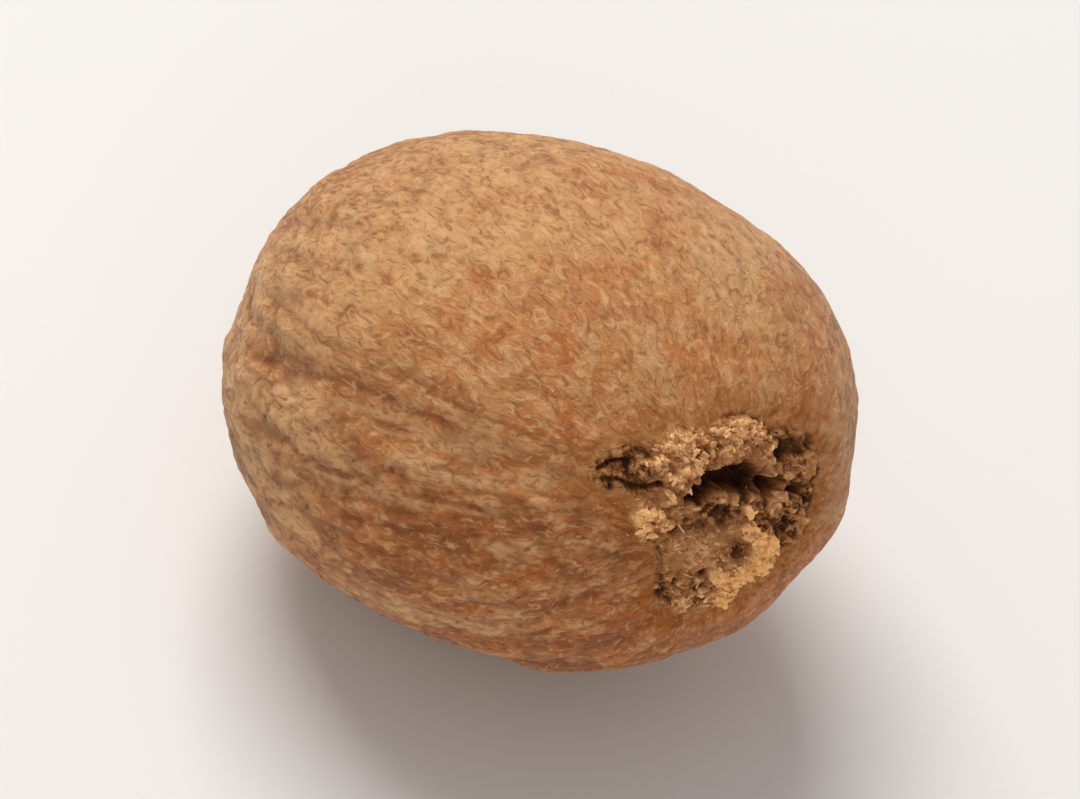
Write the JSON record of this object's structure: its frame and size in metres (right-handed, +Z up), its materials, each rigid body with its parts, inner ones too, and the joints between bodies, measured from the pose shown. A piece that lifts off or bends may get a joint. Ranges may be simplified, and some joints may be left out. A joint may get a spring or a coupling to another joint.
{
  "type": "whole nutmeg",
  "caption": "Whole dried nutmeg: a brown egg-shaped spice seed with a crumbly scar at one end and a shallow groove along its side, lying on its side.",
  "frame": {"origin": "under the middle of the seed's box, on the surface it lies on", "axes": "+X along the seed towards the scarred end, +Z up"},
  "size_m": [0.0284, 0.0238, 0.0213],
  "materials": {
    "nutmeg_skin": "dry, matt, finely wrinkled seed coat, mottled tan and reddish brown, with a crumbly pale and dark scar"
  },
  "bodies": {
    "root": {"nutmeg": "nutmeg_skin"}
  },
  "joints": []
}
